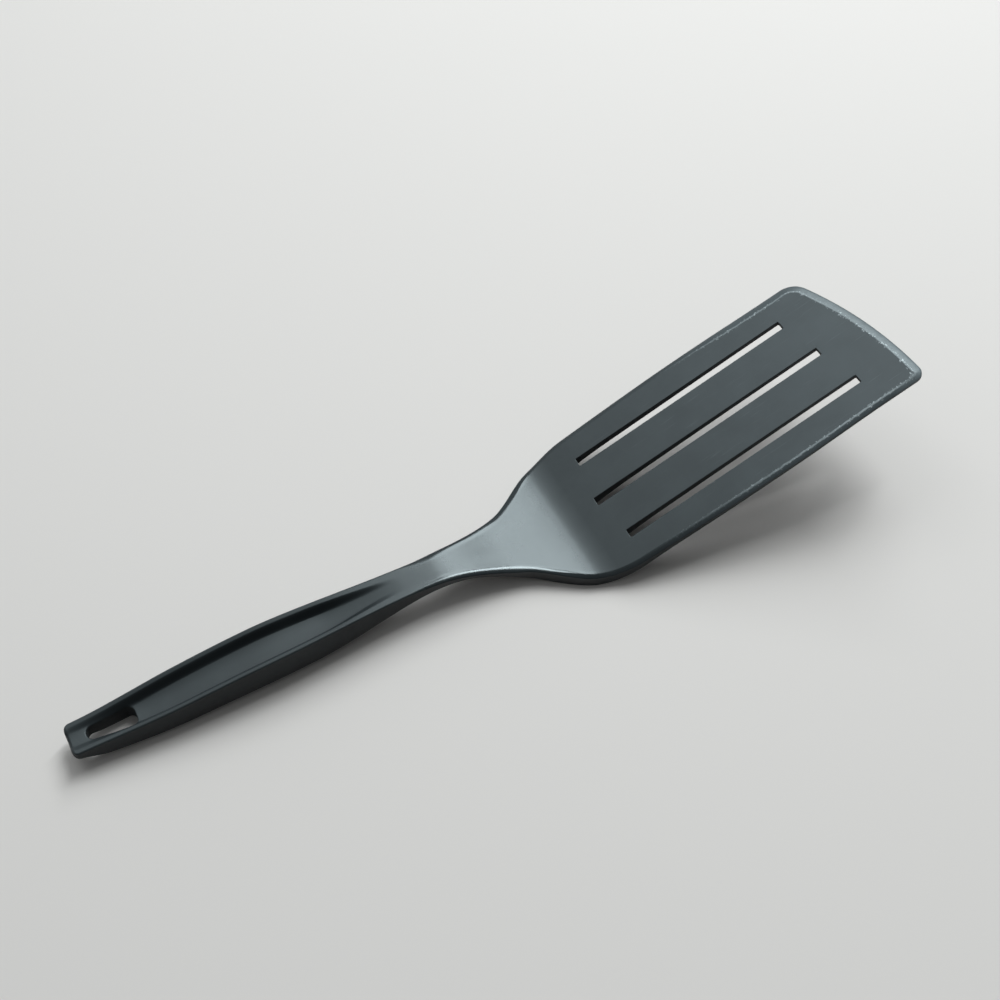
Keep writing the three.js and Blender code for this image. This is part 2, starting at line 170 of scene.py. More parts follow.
MM = 0.001
handle_end = np.array([cad_box[0].x, 0, 0])
fold_start = HANDLE_LENGTH + NECK_LENGTH
fold_tangent = FOLD_RADIUS * math.tan(BLADE_TILT / 2)
fold_arc = FOLD_RADIUS * BLADE_TILT
tip_arc_centre = BLADE_LENGTH - TIP_ARC_RADIUS
hang_narrow = HANG_SLOT_END_WIDTH / 2
hang_aside = HANG_SLOT_WIDTH / 2 - HANG_SLOT_CORNER
hang_first = HANG_SLOT_INSET + hang_narrow
hang_last = HANG_SLOT_INSET + HANG_SLOT_LENGTH - HANG_SLOT_CORNER
hang_spread = math.asin((hang_narrow - HANG_SLOT_CORNER) / math.hypot(hang_last - hang_first, hang_aside))
hang_lean = math.atan2(hang_aside, hang_last - hang_first) - hang_spread


def lerp(a, b, t):
    return a + (b - a) * t


def smoothstep(t):
    t = np.clip(t, 0, 1)
    return t * t * (3 - 2 * t)


def rise(value, start, end):
    """Goes smoothly from 0 at start to 1 at end."""
    return smoothstep((value - start) / (end - start))


def smooth_curve(stations):
    """A smooth curve through (place, value) stations that never swings past them."""
    places, values = np.array(stations, float).T
    spans = np.diff(places)
    rises = np.diff(values) / spans
    slopes = np.zeros(len(places))
    for i in range(1, len(spans)):
        mean = (rises[i - 1] * spans[i] + rises[i] * spans[i - 1]) / (spans[i - 1] + spans[i])
        size = min(abs(rises[i - 1]), abs(rises[i]), abs(mean) / 2)
        slopes[i] = (np.sign(rises[i - 1]) + np.sign(rises[i])) * size

    def value(x):
        i = int(np.clip(np.searchsorted(places, x, "right") - 1, 0, len(spans) - 1))
        t = min(max((x - places[i]) / spans[i], 0), 1)
        ends = lerp(values[i], values[i + 1], t * t * (3 - 2 * t))
        return ends + spans[i] * t * (1 - t) * (slopes[i] * (1 - t) - slopes[i + 1] * t)

    return value


def along_handle(share):
    return share * HANDLE_LENGTH


def along_neck(share):
    return HANDLE_LENGTH + share * NECK_LENGTH


def along_blade(u):
    """The length along the whole spatula, over the fold, of a place u on the blade."""
    return fold_start + fold_arc + u - fold_tangent


def bevel_drop(bevel):
    return lerp(SIDE_BEVEL_DROP, TIP_BEVEL_DROP, (bevel - SIDE_BEVEL) / (TIP_BEVEL - SIDE_BEVEL))


grip_place = along_handle(0.48)
fade_start = along_handle(RECESS_FADE_START)
fade_end = along_handle(RECESS_FADE_END)
half_width = smooth_curve([
    (0, END_WIDTH / 2),
    (along_handle(0.28), TAPER_WIDTH / 2),
    (grip_place, GRIP_WIDTH / 2),
    (along_handle(0.9), WAIST_WIDTH / 2),
    (along_neck(0.52), THROAT_WIDTH / 2),
    (fold_start, HEEL_WIDTH / 2),
    (along_blade(0.1 * BLADE_LENGTH), SHOULDER_WIDTH / 2),
    (along_blade(0.6 * BLADE_LENGTH), BLADE_WIDTH / 2),
    (along_blade(SIDE_SHARE * BLADE_LENGTH), TIP_WIDTH / 2),
])
top_height = smooth_curve([
    (0, END_TOP),
    (along_handle(0.54), CROWN_TOP),
    (along_handle(0.95), WAIST_TOP),
    (along_neck(0.53), NECK_TOP),
    (fold_start, HEEL_THICKNESS),
])
underside_height = smooth_curve([
    (0, END_LIFT),
    (along_handle(0.08), TOE_LIFT),
    (along_handle(0.3), 0),
    (along_handle(0.61), 0),
    (HANDLE_LENGTH, WAIST_LIFT),
    (along_neck(0.8), 0),
    (fold_start, 0),
])
recess_share = smooth_curve([
    (0, 0.15),
    (along_handle(0.2), 1),
    (fade_start, 1),
    (fade_end, 0),
    (fold_start, 0),
])
rim_flat = smooth_curve([
    (fade_start, RIM_WIDTH),
    (fade_end, RIM_SHARE * WAIST_WIDTH / 2),
    (along_handle(0.95), NECK_RIM_WIDTH),
    (fold_start, NECK_RIM_WIDTH),
])
dish_share = smooth_curve([
    (0, 1),
    (fade_start, 1),
    (along_handle(0.9), 0.2),
    (along_neck(0.45), 0.4),
    (fold_start, 0),
])
belly_radius = smooth_curve([
    (0, 0.3 * BELLY_RADIUS),
    (along_handle(0.5), BELLY_RADIUS),
    (HANDLE_LENGTH, 0.7 * BELLY_RADIUS),
    (fold_start, EDGE_BREAK),
])
plate_thickness = smooth_curve([
    (fold_start, HEEL_THICKNESS),
    (along_blade(ROOT_SHARE * BLADE_LENGTH), ROOT_THICKNESS),
    (along_blade(BLADE_LENGTH), TIP_THICKNESS),
])
edge_width = smooth_curve([
    (along_handle(0.86), EDGE_ROUND),
    (along_handle(0.97), 0.75 * NECK_ROUND),
    (along_neck(0.25), 0.8 * NECK_ROUND),
    (along_neck(0.5), NECK_ROUND),
    (along_neck(0.7), NECK_ROUND),
    (fold_start, HEEL_BEVEL),
])
edge_drop = smooth_curve([(HANDLE_LENGTH, EDGE_ROUND), (fold_start, bevel_drop(HEEL_BEVEL))])
edge_bulge = smooth_curve([(along_neck(0.7), 1), (fold_start, 0)])
heel_edge = (HEEL_BEVEL, bevel_drop(HEEL_BEVEL), 0)
no_hollow = (HEEL_BEVEL + rim_flat(fold_start), 0, 0)


def rounding_cut(radius, distance):
    """How far a rounding of this radius has cut in, at a distance from the face that it meets."""
    reach = np.maximum(radius - distance, 0)
    return radius - np.sqrt(radius * radius - reach * reach)


class Skin:
    """Collects patches of faces in millimetres; patches share their border points."""

    def __init__(self):
        self.points = []
        self.faces = []

    def add(self, points, faces):
        start = len(self.points)
        self.points.extend(np.asarray(points, float))
        self.faces.extend([start + k for k in face] for face in faces)

    def grid(self, rows, closed=False):
        rows = np.asarray(rows, float)
        count, width = rows.shape[:2]
        faces = []
        for i in range(count - 1):
            here, there = i * width, (i + 1) * width
            for k in range(width if closed else width - 1):
                after = (k + 1) % width
                faces.append((here + k, here + after, there + after, there + k))
        self.add(rows.reshape(-1, 3), faces)


def edge_curve(width, drop, bulge):
    """Points (inset, depth) from the side wall over the top edge: a round at bulge 1, a bevel at 0."""
    pull = lerp(BEVEL_PULL, ROUND_PULL, bulge)
    corners = np.array([[0, drop], [0, drop * (1 - pull)], [width * (1 - pull), 0], [width, 0]])
    t = (1 - np.cos(np.linspace(0, math.pi, EDGE_COLUMNS))) / 2
    weights = np.stack([(1 - t) ** 3, 3 * (1 - t) ** 2 * t, 3 * (1 - t) * t * t, t ** 3], 1)
    return weights @ corners


def corner_curve(radius, reach):
    """Points (inset, height) from the side wall under the lower corner, no further in than reach."""
    end = math.acos(max(1 - reach / radius, 0))
    angle = np.linspace(0, end, CORNER_COLUMNS)
    return np.stack([radius * (1 - np.cos(angle)), radius * (1 - np.sin(angle))], 1)


def rim_round(radius):
    """Offsets out from the wall, and drops, of points round a slot's rim from its face to its wall."""
    angle = np.linspace(0, math.pi / 2, ROUND_STEPS + 1)
    return radius * (1 - np.sin(angle)), radius * (1 - np.cos(angle))


def hollow_depth(insets, full, edge, start, recess, dish):
    """How deep the top is at insets from the side wall: a leaning rim, a walled recess and a wide dish."""
    rest = np.clip((full - insets) / (full - edge), 0, 1)
    run = min(RECESS_SLOPE, WALL_SHARE * (full - start))
    wall = recess * RECESS_DEPTH * smoothstep((insets - start) / run)
    rim = recess * RIM_LEAN * np.clip(insets - edge, 0, RIM_WIDTH)
    return rim + wall + dish * DISH_SHARE * (full - edge) * (1 - rest * rest) ** 2


def half_section(full, band, edge, hollow, radius):
    """Columns of one side from the wall to the band: top (inset, depth) and underside (inset, height)."""
    room = full - band
    start = hollow[0]
    slope = start + min(RECESS_SLOPE, ROOM_SHARE * (room - start)) * np.linspace(0, 1, SLOPE_COLUMNS)
    insets = np.append(slope, room)
    floor = np.stack([insets, hollow_depth(insets, full, edge[0], *hollow)], 1)
    corner = corner_curve(radius, ROOM_SHARE * room)
    flat = [[room, rounding_cut(radius, room)]]
    return np.vstack([edge_curve(*edge), floor]), np.vstack([corner, flat])


def band_at(x):
    """Half the width of the middle band: as wide as the rounded hanging slot, and wider where the neck is."""
    narrow = hang_narrow + HANG_SLOT_ROUND
    corner = HANG_SLOT_CORNER + HANG_SLOT_ROUND
    lean, upright = math.sin(hang_lean), math.cos(hang_lean)
    if x < hang_first - narrow * lean:
        return narrow * upright
    if x < hang_last - corner * lean:
        return (narrow + (x - hang_first) * lean) / upright
    if x < hang_last:
        return hang_aside + math.sqrt(corner * corner - (hang_last - x) ** 2)
    if x < grip_place:
        return hang_aside + corner
    return hang_aside + corner + BAND_SHARE * (half_width(x) - GRIP_WIDTH / 2)


def band_places(band):
    """Places across the band, from its left border to its right one."""
    return band * np.cos(np.linspace(0, math.pi, BAND_COLUMNS + 1))


def grip(x):
    """What the section of handle or neck at x is made from."""
    full = half_width(x)
    top = top_height(x) - rounding_cut(END_ROUND, x)
    under = underside_height(x) + rounding_cut(END_ROUND, x)
    drop = edge_drop(x)
    return SimpleNamespace(
        full=full,
        squeeze=1 - rounding_cut(END_CORNER_RADIUS, x) / full,
        top=top,
        under=under,
        edge=(edge_width(x), drop, edge_bulge(x)),
        hollow=(edge_width(x) + rim_flat(x), recess_share(x), dish_share(x)),
        radius=min(belly_radius(x), WALL_SHARE * (top - drop - under)),
        band=band_at(x),
    )


def grip_heights(x, y):
    """Heights of the recess floor and of the underside over a place in the handle's middle band."""
    g = grip(x)
    inset = g.full - abs(y) / g.squeeze
    floor = g.top - hollow_depth(inset, g.full, g.edge[0], *g.hollow)
    return floor, g.under + rounding_cut(g.radius, inset)


def grip_columns(x):
    """Left columns (x, y, z) of the top and of the underside at x, each from the side wall inwards."""
    g = grip(x)
    top, under = half_section(g.full, g.band, g.edge, g.hollow, g.radius)
    top = np.stack([np.full(len(top), x), g.squeeze * (g.full - top[:, 0]), g.top - top[:, 1]], 1)
    under = np.stack([np.full(len(under), x), g.squeeze * (g.full - under[:, 0]), g.under + under[:, 1]], 1)
    return top, under


def wall_between(upper, lower):
    """Points between a top edge and the lower corner under it."""
    return np.linspace(upper, lower, WALL_COLUMNS + 2)[1:-1]


def mirrored(points):
    return np.asarray(points) * (1, -1, 1)


def close_loop(top, under, top_band, under_band):
    """The whole loop of a section from its left columns and the points across its band."""
    wall = wall_between(top[0], under[0])
    return np.vstack([
        top,
        top_band,
        mirrored(top[::-1]),
        mirrored(wall),
        mirrored(under),
        under_band[::-1],
        under[::-1],
        wall[::-1],
    ])


def grip_loop(x):
    """A section of the handle or neck."""
    g = grip(x)
    top, under = grip_columns(x)
    across = g.squeeze * band_places(g.band)[1:-1]
    heights = np.array([grip_heights(x, y) for y in across])
    along = np.full(len(across), x)
    return close_loop(
        top,
        under,
        np.stack([along, across, heights[:, 0]], 1),
        np.stack([along, across, heights[:, 1]], 1),
    )


def turned(points, angle, place):
    """Points of a frame that is turned up by angle about y and stands at place."""
    x, y, z = np.asarray(points, float).T
    c, s = math.cos(angle), math.sin(angle)
    return np.stack([place[0] + c * x - s * z, y + place[1], place[2] + s * x + c * z], 1)


def on_blade(points):
    """Points of the blade's frame in the solids' one."""
    return turned(points, BLADE_TILT, (fold_start + fold_tangent, 0, HEEL_THICKNESS))


def fold_loop(share):
    """A section in the fold, from the neck at share 0 to the blade at 1."""
    angle = BLADE_TILT * share
    along = fold_start + FOLD_RADIUS * angle
    full = half_width(along)
    thickness = plate_thickness(along)
    band = band_at(along)
    top, under = half_section(full, band, heel_edge, no_hollow, EDGE_BREAK)
    top = np.stack([0 * top[:, 0], full - top[:, 0], -top[:, 1]], 1)
    under = np.stack([0 * under[:, 0], full - under[:, 0], under[:, 1] - thickness], 1)
    across = band_places(band)[1:-1]
    top_band = np.stack([0 * across, across, 0 * across], 1)
    loop = close_loop(top, under, top_band, top_band - (0, 0, thickness))
    ahead, lift = FOLD_RADIUS * math.sin(angle), FOLD_RADIUS * (1 - math.cos(angle))
    return turned(loop, angle, (fold_start + ahead, 0, HEEL_THICKNESS + lift))


def add_grip(skin):
    """Handle, neck and fold, with the hanging slot as a ring of its own."""
    margin = HANG_SLOT_ROUND + HANG_SLOT_MARGIN
    slot_zone = (HANG_SLOT_INSET - margin, HANG_SLOT_INSET + HANG_SLOT_LENGTH + margin)
    end = END_CORNER_RADIUS * (1 - np.cos(np.linspace(0, math.pi / 2, END_LOOPS)))
    toe = np.linspace(END_CORNER_RADIUS, slot_zone[0], TOE_LOOPS)[1:]
    handle = np.linspace(slot_zone[1], HANDLE_LENGTH, HANDLE_LOOPS)
    neck = np.linspace(HANDLE_LENGTH, fold_start, NECK_LOOPS)[1:]
    fold = np.linspace(0, 1, FOLD_LOOPS)[1:]
    near_loops = [grip_loop(x) for x in [*end, *toe]]
    skin.grid(near_loops, closed=True)
    skin.add(near_loops[0], [range(len(near_loops[0]))])
    far_loops = [grip_loop(x) for x in [*handle, *neck]] + [fold_loop(share) for share in fold]
    skin.grid(far_loops, closed=True)
    add_hang_slot(skin, slot_zone)


def hang_slot_spokes():
    """Spokes (centre, radius, way out) round the hanging slot: narrow end, left side and wide end."""
    lean, upright = math.sin(hang_lean), math.cos(hang_lean)
    narrow, side, corner, across = [], [], [], []
    for y in upright * np.cos(np.linspace(0, math.pi, BAND_COLUMNS + 1)):
        narrow.append((hang_first, 0, hang_narrow, -math.sqrt(1 - y * y), y))
    for t in np.linspace(0, 1, HANG_SIDE_STEPS):
        radius = lerp(hang_narrow, HANG_SLOT_CORNER, t)
        side.append((lerp(hang_first, hang_last, t), t * hang_aside, radius, -lean, upright))
    for angle in np.linspace(hang_lean, 0, HANG_TURN_STEPS)[1:]:
        side.append((hang_last, hang_aside, HANG_SLOT_CORNER, -math.sin(angle), math.cos(angle)))
    for angle in np.linspace(0, math.pi / 2, BAND_COLUMNS // 3 + 1):
        corner.append((hang_last, hang_aside, HANG_SLOT_CORNER, math.sin(angle), math.cos(angle)))
    for y in np.linspace(hang_aside, -hang_aside, BAND_COLUMNS // 3 + 1)[1:-1]:
        across.append((hang_last, y, HANG_SLOT_CORNER, 1, 0))
    return narrow, side, corner + across + [other_side(spoke) for spoke in corner[::-1]]


def other_side(spoke):
    x, y, radius, out_x, out_y = spoke
    return x, -y, radius, out_x, -out_y


def on_spoke(spoke, offset):
    """The place (x, y) on a spoke at an offset out from the hanging slot's wall."""
    x, y, radius, out_x, out_y = spoke
    return x + out_x * (radius + offset), y + out_y * (radius + offset)


def add_hang_slot(skin, zone):
    """The handle beside the hanging slot, and the slot's rounded rim and wall."""
    narrow, side, wide = hang_slot_spokes()
    side_places = [on_spoke(spoke, HANG_SLOT_ROUND)[0] for spoke in side]
    near = np.linspace(zone[0], side_places[0], HANG_SLOT_ROWS)
    far = np.linspace(side_places[-1], zone[1], HANG_SLOT_ROWS)
    strips = []
    for x in np.concatenate([near, side_places[1:], far[1:]]):
        top, under = grip_columns(x)
        strips.append(np.vstack([top[::-1], wall_between(top[0], under[0]), under]))
    skin.grid(strips)
    skin.grid(mirrored(strips))
    for face in (0, 1):
        for spokes, outer in ((narrow, zone[0]), (wide, zone[1])):
            skin.grid(hang_slot_end(spokes, outer, face))
    right_side = [other_side(spoke) for spoke in side]
    ring = narrow + right_side[1:] + wide[::-1][1:] + side[::-1][1:]
    skin.grid(np.array([hang_slot_column(spoke) for spoke in ring]))


def hang_slot_end(spokes, outer, face):
    """Rows from the section at outer to one end of the hanging slot, on the floor (0) or underside (1)."""
    rows = []
    for share in np.linspace(0, 1, HANG_SLOT_ROWS):
        row = []
        for spoke, border in zip(spokes, band_places(band_at(outer))):
            x, y = on_spoke(spoke, HANG_SLOT_ROUND)
            x = lerp(outer, x, share)
            y = lerp(border, y, share)
            row.append((x, y, grip_heights(x, y)[face]))
        rows.append(row)
    return rows


def hang_slot_column(spoke):
    """Points down through the hanging slot's rim and wall, along one spoke."""
    upper, lower = [], []
    for offset, drop in zip(*rim_round(HANG_SLOT_ROUND)):
        x, y = on_spoke(spoke, offset)
        floor, under = grip_heights(x, y)
        upper.append((x, y, floor - drop))
        lower.append((x, y, under + drop))
    return np.vstack([upper, wall_between(np.array(upper[-1]), np.array(lower[-1])), lower[::-1]])


def blade_thickness(places):
    """The plate's thickness at places along the blade."""
    return np.array([plate_thickness(along_blade(u)) for u in places])


def side_bevel(u):
    """How wide the bevel of an unworn side is."""
    return lerp(HEEL_BEVEL, SIDE_BEVEL, rise(u, fold_tangent, ROOT_SHARE * BLADE_LENGTH))


def worn_side_bevel(u):
    """How wide the bevel of the worn side is."""
    return lerp(side_bevel(u), WORN_SIDE_BEVEL, rise(u / BLADE_LENGTH, WEAR_START, WEAR_END))


def ragged(u, v, amount):
    """The uneven wear of a bevel's inner border."""
    place = Vector((u * RAGGED_FINENESS, v * RAGGED_FINENESS, RAGGED_LAYER))
    return amount * RAGGED_SWING * noise.fractal(place, RAGGED_FADE, RAGGED_STEP, RAGGED_OCTAVES)


def on_circle(u, v, radius, angle):
    """The place on a circle round (u, v) at an angle, and the way out there."""
    out_u, out_v = math.cos(angle), math.sin(angle)
    return u + radius * out_u, v + radius * out_v, out_u, out_v


def blade_side(side, radius, bevel_at):
    """The plate's outline on one side, from the fold to the tip's middle: u, v, way out and bevel."""
    crest = -TIP_CREST_OFFSET
    corner_v = side * (TIP_WIDTH / 2 - radius)
    reach = TIP_ARC_RADIUS - radius
    corner_u = tip_arc_centre + math.sqrt(reach * reach - (corner_v - crest) ** 2)
    corner_angle = math.atan2(corner_v - crest, corner_u - tip_arc_centre)
    middle_angle = math.asin(-crest / TIP_ARC_RADIUS)
    edges = []
    for u in np.linspace(fold_tangent, corner_u, BLADE_SIDE_STEPS)[:-1]:
        edges.append((u, side * half_width(along_blade(u)), 0, side, bevel_at(u)))
    for share in np.linspace(0, 1, BLADE_CORNER_STEPS):
        angle = lerp(side * math.pi / 2, corner_angle, share)
        bevel = min(lerp(bevel_at(corner_u), TIP_BEVEL, share), CORNER_SHARE * radius)
        edges.append((*on_circle(corner_u, corner_v, radius, angle), bevel))
    for angle in np.linspace(corner_angle, middle_angle, BLADE_TIP_STEPS)[1:]:
        edges.append((*on_circle(tip_arc_centre, crest, TIP_ARC_RADIUS, angle), TIP_BEVEL))
    return edges


def blade_outline():
    """The plate's outline from the fold round the tip and back to the fold."""
    left = blade_side(1, LEFT_CORNER_RADIUS, worn_side_bevel)
    right = blade_side(-1, RIGHT_CORNER_RADIUS, side_bevel)
    return left + right[-2::-1]


def blade_edge_columns(u, v, out_u, out_v, bevel):
    """Points over the plate's edge from the top face round to the underside, in the blade's frame."""
    worn = rise(u / BLADE_LENGTH, RAGGED_START, RAGGED_END) * rise(bevel, SIDE_BEVEL, 2 * SIDE_BEVEL)
    top = edge_curve(bevel + ragged(u, v, worn), bevel_drop(bevel), 0)
    under = corner_curve(EDGE_BREAK, EDGE_BREAK)
    top = np.stack([u - out_u * top[:, 0], v - out_v * top[:, 0], -top[:, 1]], 1)
    under_u = u - out_u * under[:, 0]
    under = np.stack([under_u, v - out_v * under[:, 0], under[:, 1] - blade_thickness(under_u)], 1)
    return np.vstack([top[::-1], wall_between(top[0], under[0]), under])


def slot_ring(i):
    """The outline of a blade slot: corner centres' places with the way out at each point."""
    middle = (SLOT_COUNT - 1) / 2
    v = (i - middle) * SLOT_PITCH
    tip_end = BLADE_LENGTH - TIP_CREST_OFFSET ** 2 / (2 * TIP_ARC_RADIUS) - SLOT_TIP_MARGIN
    start = SLOT_ROOT_MARGIN - (MIDDLE_SLOT_LEAD if i == middle else 0) + SLOT_CORNER
    end = tip_end - v * math.tan(SLOT_END_SLANT) - SLOT_CORNER
    half = SLOT_WIDTH / 2 - SLOT_CORNER
    corners = [(end, half), (start, half), (start, -half), (end, -half)]
    ring = []
    for corner, (u, aside) in enumerate(corners):
        for angle in np.linspace(corner, corner + 1, ROUND_STEPS + 1) * math.pi / 2:
            ring.append((u, v + aside, math.cos(angle), math.sin(angle)))
        next_u, next_aside = corners[(corner + 1) % len(corners)]
        if next_aside == aside:
            side = math.copysign(1, aside)
            ring += [(place, v + aside, 0, side) for place in np.linspace(u, next_u, SLOT_STEPS)[1:-1]]
    return ring


def slot_columns(u, v, out_u, out_v):
    """Points down through a blade slot's rim and wall at one place of its outline."""
    offset, drop = rim_round(SLOT_ROUND)
    reach = SLOT_CORNER + offset
    place = np.stack([u + out_u * reach, v + out_v * reach], 1)
    upper = np.column_stack([place, -drop])
    lower = np.column_stack([place, drop - blade_thickness(place[:, 0])])
    return np.vstack([upper, wall_between(upper[-1], lower[-1]), lower[::-1]])


def inside(points, loop):
    """Which points of the plane lie inside a loop, by crossings."""
    x, y = points.T
    result = np.zeros(len(points), bool)
    for (x0, y0), (x1, y1) in zip(loop, np.roll(loop, -1, axis=0)):
        if y0 == y1:
            continue
        spans = (y0 > y) != (y1 > y)
        result ^= spans & (x < x0 + (y - y0) / (y1 - y0) * (x1 - x0))
    return result


def on_face(points, outline, holes):
    """Which points of the plane lie inside an outline and in none of its holes."""
    result = inside(points, outline)
    for hole in holes:
        result &= ~inside(points, hole)
    return result


def from_stretch(points, start, end):
    """How far points of the plane lie from a straight stretch, and at what share of its way."""
    way = end - start
    share = np.clip((points - start) @ way / max(way @ way, NO_LENGTH), 0, 1)
    return np.linalg.norm(points - start - share[:, None] * way, axis=1), share


def border_distance(points, loops):
    """How far each point of the plane lies from the nearest stretch of some loops."""
    nearest = np.full(len(points), np.inf)
    for loop in loops:
        for start, end in zip(loop, np.roll(loop, -1, axis=0)):
            distance, _ = from_stretch(points, start, end)
            nearest = np.minimum(nearest, distance)
    return nearest


def plane_fill(outline, holes):
    """Points and triangles of a flat face between an outline and its holes."""
    loops = [outline, *holes]
    low, high = outline.min(0), outline.max(0)
    row_pitch = FILL_PITCH * math.sqrt(0.75)
    spread = np.array([
        (u, v)
        for row, v in enumerate(np.arange(low[1], high[1], row_pitch))
        for u in np.arange(low[0] + FILL_PITCH / 2 * (row % 2), high[0], FILL_PITCH)
    ])
    keep = (border_distance(spread, loops) > FILL_MARGIN) & on_face(spread, outline, holes)
    points = np.vstack([*loops, spread[keep]])
    edges, start = [], 0
    for loop in loops:
        count = len(loop)
        edges += [(start + k, start + (k + 1) % count) for k in range(count)]
        start += count
    made = delaunay_2d_cdt([Vector(p) for p in points], edges, [], 0, FILL_TOLERANCE)
    places, triangles = np.array(made[0]), np.array(made[2])
    return places, triangles[on_face(places[triangles].mean(1), outline, holes)]


def add_blade(skin):
    """The plate: strips over its edges, rims and walls of its slots, and two flat faces."""
    strips = np.array([blade_edge_columns(*edge) for edge in blade_outline()])
    skin.grid([on_blade(strip) for strip in strips])
    slots = []
    for i in range(SLOT_COUNT):
        columns = np.array([slot_columns(*place) for place in slot_ring(i)])
        skin.grid([on_blade(column) for column in [*columns, columns[0]]])
        slots.append(columns)
    add_blade_face(skin, strips[:, 0], [columns[:, 0] for columns in slots], across_fold(top=True))
    add_blade_face(skin, strips[:, -1], [columns[:, -1] for columns in slots], across_fold(top=False))


def across_fold(top):
    """Places across the fold where the neck's columns end, from right to left, without the border ones."""
    full = half_width(along_blade(fold_tangent))
    band = band_at(along_blade(fold_tangent))
    columns = half_section(full, band, heel_edge, no_hollow, EDGE_BREAK)
    left = full - columns[0][EDGE_COLUMNS:, 0] if top else full - columns[1][CORNER_COLUMNS:, 0]
    return np.concatenate([-left, band_places(band)[1:-1][::-1], left[::-1]])


def add_blade_face(skin, border, holes, fold_places):
    """The plate's top face or underside, inside its edge strips, its slots and the fold."""
    fold_line = np.stack([np.full(len(fold_places), fold_tangent), fold_places], 1)
    outline = np.vstack([border[:, :2], fold_line])
    places, triangles = plane_fill(outline, [hole[:, :2] for hole in holes])
    under = border[0, 2] < -EDGE_BREAK
    height = -blade_thickness(places[:, 0]) if under else 0 * places[:, 0]
    skin.add(on_blade(np.column_stack([places, height])), triangles)


def make_mesh(name, skin):
    """Welds the patches into one closed mesh in the row frame."""
    mesh = bpy.data.meshes.new(name)
    mesh.from_pydata(np.array(skin.points) * MM + handle_end, [], skin.faces)
    work = bmesh.new()
    work.from_mesh(mesh)
    bmesh.ops.remove_doubles(work, verts=work.verts, dist=WELD_DISTANCE * MM)
    bmesh.ops.recalc_face_normals(work, faces=work.faces)
    for face in work.faces:
        face.smooth = True
    work.to_mesh(mesh)
    work.free()
    return mesh


def add_object(name, data):
    """A new object in the scene."""
    made = bpy.data.objects.new(name, data)
    bpy.context.scene.collection.objects.link(made)
    return made


def make_spatula():
    """The whole moulding as one piece."""
    skin = Skin()
    add_grip(skin)
    add_blade(skin)
    mesh = make_mesh("spatula_moulding", skin)
    add_wear_and_sheen(mesh)
    mesh.materials.append(make_nylon())
    piece = add_object("spatula_moulding", mesh)
    weighted = piece.modifiers.new("even_faces", "WEIGHTED_NORMAL")
    weighted.mode = "FACE_AREA_WITH_ANGLE"
    weighted.weight = NORMAL_WEIGHT
    return piece


def off_blade(points):
    """Points of the solids' frame in the blade's one: u along it, v across it and w up from its top face."""
    x, y, z = (np.asarray(points) - (fold_start + fold_tangent, 0, HEEL_THICKNESS)).T
    c, s = math.cos(BLADE_TILT), math.sin(BLADE_TILT)
    return np.stack([c * x + s * z, y, c * z - s * x], 1)


def ridge_distance(points):
    """How far inside the bevel's inner border each place (u, v) of the plate lies, in millimetres."""
    outline = np.array(blade_outline())
    places, bevels = outline[:, :2], outline[:, -1]
    nearest = np.full(len(points), np.inf)
    ridge = np.full(len(points), np.inf)
    for i in range(len(outline) - 1):
        distance, share = from_stretch(points, places[i], places[i + 1])
        closer = distance < nearest
        nearest[closer] = distance[closer]
        ridge[closer] = (distance - lerp(bevels[i], bevels[i + 1], share))[closer]
    return ridge


def side_wear_and_highlight(points, left_strength):
    """How worn the long sides are near each place (u, v), which also sets the ridge line's painted highlight:
    more to the tip, and less on the left.
    """
    share = points[:, 0] / BLADE_LENGTH
    right = rise(share, RIGHT_WEAR_START, RIGHT_WEAR_END)
    left = left_strength * rise(share, WEAR_START, WEAR_END)
    return np.where(points[:, 1] < 0, right, left)


def edge_wear_and_sheen(points):
    """How worn the plate's edge is near each place (u, v): its sides and its tip, with a painted highlight
    making the tip's right end paler still.
    """
    share = points[:, 0] / BLADE_LENGTH
    to_right = smoothstep(-2 * points[:, 1] / TIP_WIDTH)
    # The tip's right end is made paler still: a painted highlight on top of the wear
    tip = rise(share, TIP_WEAR_START, TIP_WEAR_END) * (1 + RIGHT_TIP_PAINTED_SHEEN * to_right)
    return np.maximum(side_wear_and_highlight(points, LEFT_EDGE_WEAR), tip)


def ridge_wear_and_highlight(points):
    """How bright the bevel's inner border is near each place (u, v), from wear and a painted highlight:
    fainter at the tip.
    """
    share = points[:, 0] / BLADE_LENGTH
    fade = RIDGE_FADE * rise(share, RIDGE_FADE_START, RIDGE_FADE_END)
    return side_wear_and_highlight(points, LEFT_RIDGE_WEAR_AND_HIGHLIGHT) * (1 - fade)


def add_wear_and_sheen(mesh):
    """Stores at each point its distance from the bevel's inner border, the wear there with the painted
    highlight at the tip's right end, the ridge line's wear and painted highlight, and its inset.
    """
    points = np.empty(3 * len(mesh.vertices))
    mesh.vertices.foreach_get("co", points)
    points = (points.reshape(-1, 3) - handle_end) / MM
    places = off_blade(points)
    above = (places[:, 0] > fold_tangent) & (places[:, 2] > -TIP_BEVEL_DROP - EDGE_BREAK)
    fields = {
        "ridge": np.where(above, ridge_distance(places[:, :2]), FAR_FROM_RIDGE),
        "wear_and_sheen": np.where(above, edge_wear_and_sheen(places[:, :2]), 0),
        "ridge_wear_and_highlight": np.where(above, ridge_wear_and_highlight(places[:, :2]), 0),
        "inset": np.array([half_width(x) - abs(y) for x, y in points[:, :2]]),
    }
    for name, values in fields.items():
        mesh.attributes.new(name, "FLOAT", "POINT").data.foreach_set("value", values)


